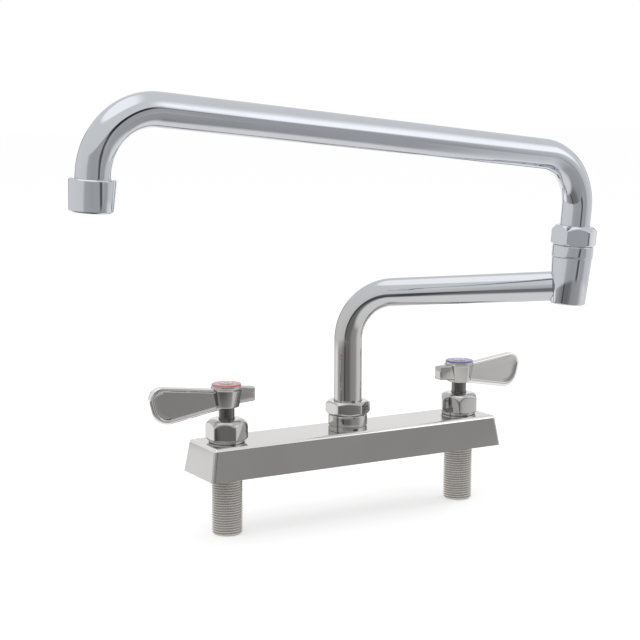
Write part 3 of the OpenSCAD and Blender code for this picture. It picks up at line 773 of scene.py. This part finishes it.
class FAUCET_OT_bonnets(bpy.types.Operator):
    """Builds the domed hexagon bonnets and the stems that come out of them"""

    bl_idname = "faucet.bonnets"
    bl_label = "Bonnets"

    def execute(self, context):
        sizes = context.scene.faucet_bonnet
        mm = InMillimetres(sizes)
        lever_z = InMillimetres(context.scene.faucet_lever).stem_top
        for name, side in SIDES.items():
            dome = domed_bonnet(mm, getattr(sizes, f"{name}_turn"))
            piece(dome, f"{name}_bonnet", at_valve(side), sharp=45)
            piece(valve_stem(mm, lever_z), f"{name}_stem", at_valve(side))
        return {"FINISHED"}


def lever_hub(mm):
    """A six-sided cup that widens upwards, under a round cap."""
    cup_z, cap_z = mm.hub - 2.1, mm.hub - 1.1
    foot, cup, cap = 9.5, 12.0, 10.9
    shape = turned([(0, 0), (foot, 0, 1.2), (cup, cup_z), (cap, cap_z, 0.3),
                    (cap, mm.hub, 0.4), (0, mm.hub)], steps=180, row=0.8)
    hexed(shape, lambda z: 16 + 0.32 * min(z, 13.6) + 4 * max(0, z - 13.4), math.radians(30),
          soft=0.35)
    return shape


def lever_stub(mm):
    """The short square tail opposite the blade, narrower at its end."""
    long, wide, tall = 14.2, 9.6, 12.2
    return block((long, wide, tall), (long / 2 - mm.stub, 0, mm.hub - 7.5), 1.1, taper=0.84)


def blade_corners(mm):
    """Reach, height and radius of the blade's four rounded corners."""
    top = mm.hub + mm.rise
    low = top - mm.height
    root_top, root_x, root_r = mm.hub - 2.1, mm.root / 3, 5.5
    low_back = 1.5
    return [(root_x, root_top - mm.root + root_r, root_r),
            (mm.reach - mm.low_corner - low_back, low + mm.low_corner, mm.low_corner),
            (mm.reach - mm.corner, top - mm.corner, mm.corner),
            (root_x, root_top - root_r, root_r)]


def side_angle(first, second):
    """Direction of the outer tangent from one corner to the next."""
    run, climb = second[0] - first[0], second[1] - first[1]
    return math.atan2(climb, run) - math.acos((first[2] - second[2]) / math.hypot(run, climb))


def blade_outline(rings):
    """A flat face in the XZ plane, drawn as a belt round the corners."""
    shape = bmesh.new()
    arcs = []
    for k, (x, z, radius) in enumerate(rings):
        start = side_angle(rings[k - 1], rings[k])
        sweep = (side_angle(rings[k], rings[(k + 1) % len(rings)]) - start) % math.tau
        first = shape.verts.new(((x + radius * math.cos(start)) * MM, 0,
                                 (z + radius * math.sin(start)) * MM))
        spun = bmesh.ops.spin(shape, geom=[first], cent=(x * MM, 0, z * MM), axis=(0, -1, 0),
                              angle=sweep, steps=max(2, round(sweep * 7)))
        arcs.append((first, verts_in(spun["geom_last"])[0]))
    for k in range(len(arcs)):
        shape.edges.new((arcs[k - 1][1], arcs[k][0]))
    bmesh.ops.remove_doubles(shape, verts=shape.verts[:], dist=1e-7)
    bmesh.ops.contextual_create(shape, geom=shape.edges[:])
    return shape


def lever_blade(sizes):
    """The paddle, rounded at its edges and hollowed on both sides."""
    shape = blade_outline(blade_corners(InMillimetres(sizes)))
    grown = bmesh.ops.extrude_face_region(shape, geom=shape.faces[:])
    bmesh.ops.translate(shape, verts=verts_in(grown["geom"]), vec=(0, sizes.blade, 0))
    shape.transform(shift(y=-sizes.blade / 2))
    outwards(shape)
    bevel(shape, sharp_edges(shape, 28), 1.3 * MM, segments=5, clamp=True)
    # Every face but the two sides, and the ring round each hollow, gets the painted rim
    # highlight.
    sides = sorted(shape.faces, key=lambda one: one.calc_area())[-2:]
    for face in shape.faces:
        face.material_index = int(face not in sides)
    for face in sides:
        hollow_side(shape, face, sizes)
    return shape


def hollow_side(shape, face, sizes):
    """Leaves a rim round a side of the blade and sinks the rest in four steps."""
    ring = bmesh.ops.inset_region(shape, faces=[face], thickness=0.35 * sizes.rim,
                                  use_even_offset=True)["faces"]
    for part in ring:
        part.material_index = 1
    steps = [(0.15 * sizes.rim, 0.3), (0.15 * sizes.rim, 0.3), (0.2 * sizes.rim, 0.15),
             (3.5 * MM, 0.08)]
    for inset, sink in steps:
        bmesh.ops.inset_region(shape, faces=[face], thickness=inset, depth=-sizes.dish * sink,
                               use_even_offset=True)


class FAUCET_OT_levers(bpy.types.Operator):
    """Builds the paddle levers"""

    bl_idname = "faucet.levers"
    bl_label = "Levers"

    def execute(self, context):
        sizes = context.scene.faucet_lever
        for name, side in SIDES.items():
            yaw = sizes.rest if side > 0 else math.pi - sizes.rest
            place = at_valve(side) @ shift(z=sizes.stem_top) @ Matrix.Rotation(yaw, 4, "Z")
            lever = lever_hub(InMillimetres(sizes))
            join(lever, lever_blade(sizes))
            join(lever, lever_stub(InMillimetres(sizes)))
            piece(lever, f"{name}_lever", place, sharp=40, flats=120)
        return {"FINISHED"}


def index_ring(mm, top):
    """A bare flat ring round the screw's head."""
    inner, outer, upper = mm.screw / 2 + 0.2, mm.ring / 2, top + 1.1
    return turned([(inner, top), (outer, top), (outer, upper, 0.45), (inner, upper, 0.2)])


def handle_screw(mm, top):
    """A crowned head with a round recess, on a screw that reaches down into the stem."""
    head, shank, shank_z = mm.screw / 2, 2.0, 44.8
    rim_z, crown_z, recess_z = top + 1.5, top + 1.85, top + 0.9
    return turned([(0, shank_z), (shank, shank_z), (shank, top), (head, top),
                   (head, rim_z, 0.4), (2.3, crown_z, 0.15), (1.7, recess_z), (0, recess_z)])


class FAUCET_OT_index(bpy.types.Operator):
    """Builds the index rings and the handle screws in them"""

    bl_idname = "faucet.index"
    bl_label = "Index rings"

    def execute(self, context):
        mm = InMillimetres(context.scene.faucet_lever)
        top = mm.stem_top + mm.hub
        for name, side in SIDES.items():
            piece(index_ring(mm, top), f"{name}_index", at_valve(side))
            piece(handle_screw(mm, top), f"{name}_screw", at_valve(side))
        return {"FINISHED"}


def hub_collar(mm, deck):
    """The grooved collar, with its spigot below and its thread above."""
    collar, top = mm.collar / 2, deck + 10.2
    groove, low, high = collar - 0.7, deck + 1.3, deck + 2.4
    spigot, foot, water = 9.0, deck - 6, 6.5
    thread, thread_top = 13.5, 38.2
    shoulder, shoulder_z = 12.3, 35.3
    barrel, barrel_z = mm.tube / 2 + TURN_FIT, 25.3
    return turned([(water, foot), (spigot, foot), (spigot, deck), (collar, deck),
                   (collar, low, 0.2), (groove, low + 0.3), (groove, high - 0.3),
                   (collar, high, 0.2), (collar, top, 0.8), (thread, top),
                   (thread, thread_top), (shoulder, thread_top), (shoulder, shoulder_z),
                   (barrel, shoulder_z), (barrel, barrel_z), (water, barrel_z)])


class FAUCET_OT_hub(bpy.types.Operator):
    """Builds the collar and the coupling nut under the riser"""

    bl_idname = "faucet.hub"
    bl_label = "Spout hub"

    def execute(self, context):
        sizes = context.scene.faucet_spout
        deck = InMillimetres(context.scene.faucet_base).height
        mm = InMillimetres(sizes)
        piece(hub_collar(mm, deck), "spout_seat", sharp=32)
        nut = hex_nut(mm.hub_flats, sizes.hub_turn, mm.tube / 2 + OPEN_FIT, thread=13.6,
                      chamfer=14.7, corner=16.97, top_r=14.3, foot=33.9, chamfer_top=35.5,
                      shoulder=41.8, lip=39.8, top=43.7, soft=0.4)
        piece(nut, "hub_nut", sharp=45)
        return {"FINISHED"}


def elbow_body(mm):
    """The tapered body, bored for the insert, with a thread for the nut."""
    foot, foot_r, top, top_r = -12.8, 12.4, 19.9, 13.9
    thread, thread_top = 13.0, 33.7
    shoulder, shoulder_z = 11.8, 30.8
    barrel, barrel_z = mm.tube / 2 + TURN_FIT, 11.4
    water, floor = 8.4, -8.9
    return turned([(0, foot), (foot_r, foot, 1.2), (top_r, top, 0.3), (thread, top),
                   (thread, thread_top), (shoulder, thread_top), (shoulder, shoulder_z),
                   (barrel, shoulder_z), (barrel, barrel_z), (water, barrel_z),
                   (water, floor), (0, floor)])


def elbow_band(mm):
    """The round band between the body and the nut."""
    inner, outer = 13.1, mm.band / 2
    low, high = 20.0, 28.4
    return turned([(inner, low), (outer, low, 0.4), (outer, high, 0.8), (inner, high)])


class FAUCET_OT_elbow(bpy.types.Operator):
    """Builds the elbow body, its band and its nut"""

    bl_idname = "faucet.elbow"
    bl_label = "Elbow"

    def execute(self, context):
        sizes = context.scene.faucet_spout
        mm = InMillimetres(sizes)
        elbow = spout_places()[1]
        piece(elbow_body(mm), "elbow_body", elbow, sharp=32)
        piece(elbow_band(mm), "elbow_band", elbow, sharp=32, finish="spout_chrome")
        nut = hex_nut(mm.elbow_flats, sizes.elbow_turn, mm.tube / 2 + OPEN_FIT, thread=13.1,
                      chamfer=14.5, corner=16.15, top_r=12.9, foot=28.7, chamfer_top=29.8,
                      shoulder=38.6, lip=35.3, top=42.3, soft=1.6)
        piece(nut, "elbow_nut", elbow, sharp=45, finish="spout_chrome")
        return {"FINISHED"}


def bent_tube(sizes, legs):
    """A closed tube of legs, each a straight length and the bend that follows it."""
    shape = bmesh.new()
    bmesh.ops.create_circle(shape, segments=72, radius=sizes.tube / 2, cap_ends=True)
    rim = shape.edges[:]
    place = Matrix()
    for straight, bend in legs:
        grown = bmesh.ops.extrude_edge_only(shape, edges=rim)["geom"]
        verts, rim = verts_in(grown), edges_in(grown)
        bmesh.ops.translate(shape, verts=verts, vec=place.to_3x3() @ Vector((0, 0, straight)))
        place = place @ shift(z=straight)
        if bend:
            swept = bmesh.ops.spin(shape, geom=verts + rim,
                                   cent=place @ Vector((sizes.bend, 0, 0)),
                                   axis=place.to_3x3() @ Vector((0, 1, 0)), angle=bend,
                                   steps=32)
            rim = edges_in(swept["geom_last"])
            place = place @ shift(sizes.bend) @ Matrix.Rotation(bend, 4, "Y") @ shift(-sizes.bend)
    bmesh.ops.edgeloop_fill(shape, edges=rim)
    outwards(shape)
    return shape


class FAUCET_OT_tubes(bpy.types.Operator):
    """Builds the two bent tubes of the spout"""

    bl_idname = "faucet.tubes"
    bl_label = "Tubes"

    def execute(self, context):
        sizes = context.scene.faucet_spout
        swing, _, upper, _ = spout_places()
        square = math.pi / 2
        weld, foot, tuck = 9.5 * MM, 33.5 * MM, 9 * MM

        def setback(bend):
            return sizes.bend * math.tan(bend / 2)

        bend = square - sizes.lower_rise
        lower = bent_tube(sizes, [(sizes.lower_z - sizes.riser_z - setback(bend), bend),
                                  (sizes.lower_l - setback(bend) - weld, 0)])
        piece(lower, "lower_tube", swing @ shift(z=sizes.riser_z))
        bend, last = square - sizes.upper_rise, square + sizes.upper_rise
        pipe = bent_tube(sizes, [(sizes.upper_z - foot - setback(bend), bend),
                                 (sizes.upper_l - setback(bend) - setback(last), last),
                                 (sizes.drop - setback(last) - sizes.aerator + tuck, 0)])
        piece(pipe, "upper_tube", upper @ shift(z=foot))
        return {"FINISHED"}


class FAUCET_OT_aerator(bpy.types.Operator):
    """Builds the aerator housing"""

    bl_idname = "faucet.aerator"
    bl_label = "Aerator"

    def execute(self, context):
        mm = InMillimetres(context.scene.faucet_spout)
        top = mm.aerator
        lip, foot, belly, shoulder, rim = 10.7, 12.2, 13.0, 13.85, 13.1
        socket, socket_z = mm.tube / 2 + FIT, 8.4
        water, water_z = 8.9, 7.0
        housing = turned([(lip, 0), (foot, 0, 0.4), (belly, 0.9, 0.5), (shoulder, top - 0.8, 0.3),
                          (rim, top, 0.3), (socket, top), (socket, socket_z), (water, socket_z),
                          (water, water_z), (lip, water_z)])
        piece(housing, "aerator_housing", spout_places()[3], sharp=32)
        return {"FINISHED"}


WHITE = (1.0, 1.0, 1.0, 1.0)
CAMERA_YAW = math.radians(29.62)

# What chrome sees low down, near the faucet and far from it. Each stop is a bearing in
# degrees and a tone; 0 is towards the camera, and more is to the camera's right.
NEAR = [(-180, 0.9), (-150, 0.9), (-146, 0.1), (-140, 0.1), (-137, 0.9), (-106, 0.95),
        (-92, 0.6), (-84, 0.38), (-64, 0.32), (-45, 0.24), (-36, 0.22), (-31, 0.07), (-26, 0.07),
        (-21, 0.17), (0, 0.16), (12, 0.2), (22, 0.3), (60, 0.36), (71, 0.56), (88, 0.75),
        (119, 0.7), (140, 0.9), (143, 0.1), (150, 0.1), (153, 0.95)]
FAR = [(-180, 0.9), (-152, 0.8), (-148, 0.15), (-142, 0.15), (-139, 0.64), (-87, 0.66),
       (-38, 0.62), (-28, 0.4), (0, 0.36), (28, 0.37), (33, 0.08), (39, 0.08), (44, 0.42),
       (51, 0.36), (68, 0.36), (74, 0.52), (90, 0.6), (119, 0.62), (138, 0.8), (142, 0.15),
       (148, 0.15), (152, 0.9)]


def studio_bearing(work, x, y):
    """Compass turn round the faucet: 0.5 towards the camera, more to the camera's right."""
    ahead = x * -math.sin(CAMERA_YAW) + y * -math.cos(CAMERA_YAW)
    across = x * math.cos(CAMERA_YAW) + y * -math.sin(CAMERA_YAW)
    return work.math("ARCTAN2", across, ahead) / math.tau + 0.5


def studio_level(work, x, y, stops):
    """A ring of tones round the faucet."""
    gain = 1.19
    turns = [((bearing + 180) / 360, tone) for bearing, tone in stops]
    ramp = work.node("ShaderNodeValToRGB", {"stops": turns}, Fac=studio_bearing(work, x, y))
    return work.value(ramp) * gain


def add_floor():
    """A pale floor just under the shanks."""
    shape = bmesh.new()
    bmesh.ops.create_grid(shape, x_segments=1, y_segments=1, size=15.0)
    shape.transform(shift(z=SHANK_LOW.z - 0.4 * MM))
    mesh = bpy.data.meshes.new("floor")
    shape.to_mesh(mesh)
    shape.free()
    mesh.materials.append(floor_finish())
    ground = placed("floor", mesh)


def floor_finish():
    """White to the camera, matt to the light, and to chrome the studio's tones."""
    material = bpy.data.materials.new("pale_floor")
    work = NodeWork(material)
    place = work.node("ShaderNodeTexCoord").outputs["Object"]
    x, y, _ = work.split(place)
    reach = (x * x + y * y) ** 0.5
    ring = work.blend(work.band(reach, 0.78, 0.95), studio_level(work, x, y, NEAR),
                      studio_level(work, x, y, FAR))
    mirrored = work.blend(work.band(reach, 0.17, 0.3), (0.85, 0.84, 0.83, 1.0), ring)
    ray = work.node("ShaderNodeLightPath")
    glossy = work.value(ray, "Is Glossy Ray")
    matt = work.node("ShaderNodeBsdfDiffuse", Color=(0.985, 0.985, 0.985, 1.0))
    light = work.node("ShaderNodeEmission", Strength=1.0,
                      Color=work.blend(glossy, WHITE, mirrored))
    white = work.value(ray, "Is Camera Ray") + work.value(ray, "Is Transmission Ray")
    both = work.node("ShaderNodeMixShader")
    work.feed(both.inputs[0], white * 0.55 + glossy)
    work.feed(both.inputs[1], matt.outputs[0])
    work.feed(both.inputs[2], light.outputs[0])
    work.node("ShaderNodeOutputMaterial", Surface=both.outputs[0])
    return material


def studio_world():
    """White behind the faucet, and for its chrome a studio that is darker in front."""
    world = bpy.data.worlds.new("studio")
    work = NodeWork(world)
    place = work.node("ShaderNodeTexCoord").outputs["Generated"]
    x, y, z = work.split(place)
    tone = studio_tone(work, x, y, z)
    ray = work.node("ShaderNodeLightPath")
    background = work.math("ADD", work.value(ray, "Is Camera Ray"),
                           work.value(ray, "Is Transmission Ray"), clamp=True)
    tone = work.blend(work.value(ray, "Is Glossy Ray"), WHITE, tone)
    tone = work.blend(background, tone, WHITE)
    shader = work.node("ShaderNodeBackground", Color=tone, Strength=1.0)
    work.node("ShaderNodeOutputWorld", Surface=shader.outputs[0])
    return world


def studio_tone(work, x, y, z):
    """What chrome sees above the floor: walls, a ceiling, a dark strip and a light box."""
    bearing = studio_bearing(work, x, y)
    left = 1 - work.band(x, 0.05, 0.3)
    crown = work.band(z, 0.78, 0.86)
    overhead = 0.76 + left * crown * 0.4
    tone = work.blend(work.band(z, 0.24, 0.3), studio_level(work, x, y, FAR), overhead)
    front = work.band(bearing, 0.59, 0.61) * (1 - work.band(bearing, 0.67, 0.685))
    strip = work.band(z, 0.07, 0.1) * (1 - work.band(z, 0.25, 0.29)) * front
    tone = work.blend(strip, tone, (0.03, 0.03, 0.035, 1.0))
    box = (work.band(z, 0.05, 0.22) * (1 - work.band(z, 0.4, 0.78))
           * work.band(bearing, 0.65, 0.69) * (1 - work.band(bearing, 0.75, 0.8)))
    return work.blend(box, tone, (1.3, 1.3, 1.3, 1.0))


def add_lamp(name, spot, size, watts):
    """A soft round lamp that points at the faucet and isn't mirrored in it."""
    light = bpy.data.lights.new(name, "AREA")
    light.shape = "DISK"
    light.size = size
    light.energy = watts
    lamp = placed(name, light)
    aim = Vector((0, 0, 0.1)) - Vector(spot)
    lamp.location = spot
    lamp.rotation_euler = aim.to_track_quat("-Z", "Y").to_euler()
    lamp.visible_glossy = False


def add_camera(scene):
    """The photograph's camera, fitted to the edges of the base and the spout."""
    width = 640
    focal = 1500
    centre_x, centre_y = 294, 328
    pitch = math.radians(8.42)
    data = bpy.data.cameras.new("camera")
    data.sensor_width = 36.0
    data.lens = focal * data.sensor_width / width
    data.shift_x = (width / 2 - centre_x) / width
    data.shift_y = (centre_y - width / 2) / width
    data.clip_end = 50
    camera = placed("camera", data)
    camera.location = (-0.5790, -0.9370, 0.2608)
    camera.rotation_euler = (math.pi / 2 - pitch, 0, -CAMERA_YAW)
    scene.camera = camera


class FAUCET_OT_stage(bpy.types.Operator):
    """Sets the floor, the soft studio light and the camera"""

    bl_idname = "faucet.stage"
    bl_label = "Stage"

    def execute(self, context):
        scene = context.scene
        scene.view_settings.view_transform = "Standard"
        add_floor()
        scene.world = studio_world()
        add_lamp("key", (-0.9, -0.7, 1.5), size=0.9, watts=10)
        add_lamp("side", (1.3, 0.2, 1.0), size=0.7, watts=6)
        add_camera(scene)
        return {"FINISHED"}


PIECES = (FAUCET_OT_finishes, FAUCET_OT_base, FAUCET_OT_shanks, FAUCET_OT_bonnets,
          FAUCET_OT_levers, FAUCET_OT_index, FAUCET_OT_hub, FAUCET_OT_elbow, FAUCET_OT_tubes,
          FAUCET_OT_aerator, FAUCET_OT_stage)
GROUPS = {"faucet_base": FaucetBaseSizes, "faucet_bonnet": FaucetBonnetSizes,
          "faucet_lever": FaucetLeverSizes, "faucet_spout": FaucetSpoutSizes,
          "faucet_colours": FaucetColours}


class FAUCET_PT_panel(bpy.types.Panel):
    bl_label = "Faucet"
    bl_idname = "FAUCET_PT_panel"
    bl_space_type = "VIEW_3D"
    bl_region_type = "UI"
    bl_category = "Faucet"

    def draw(self, context):
        for name, group in GROUPS.items():
            box = self.layout.box()
            for key in group.__annotations__:
                box.prop(getattr(context.scene, name), key)
        for operator in PIECES:
            self.layout.operator(operator.bl_idname)


def register():
    for cls in (*GROUPS.values(), *PIECES, FAUCET_PT_panel):
        bpy.utils.register_class(cls)
    for name, group in GROUPS.items():
        setattr(bpy.types.Scene, name, PointerProperty(type=group))


def unregister():
    for name in GROUPS:
        delattr(bpy.types.Scene, name)
    for cls in reversed((*GROUPS.values(), *PIECES, FAUCET_PT_panel)):
        bpy.utils.unregister_class(cls)


def main():
    register()
    for operator in PIECES:
        group, name = operator.bl_idname.split(".")
        getattr(getattr(bpy.ops, group), name)()


if __name__ == "__main__":
    main()
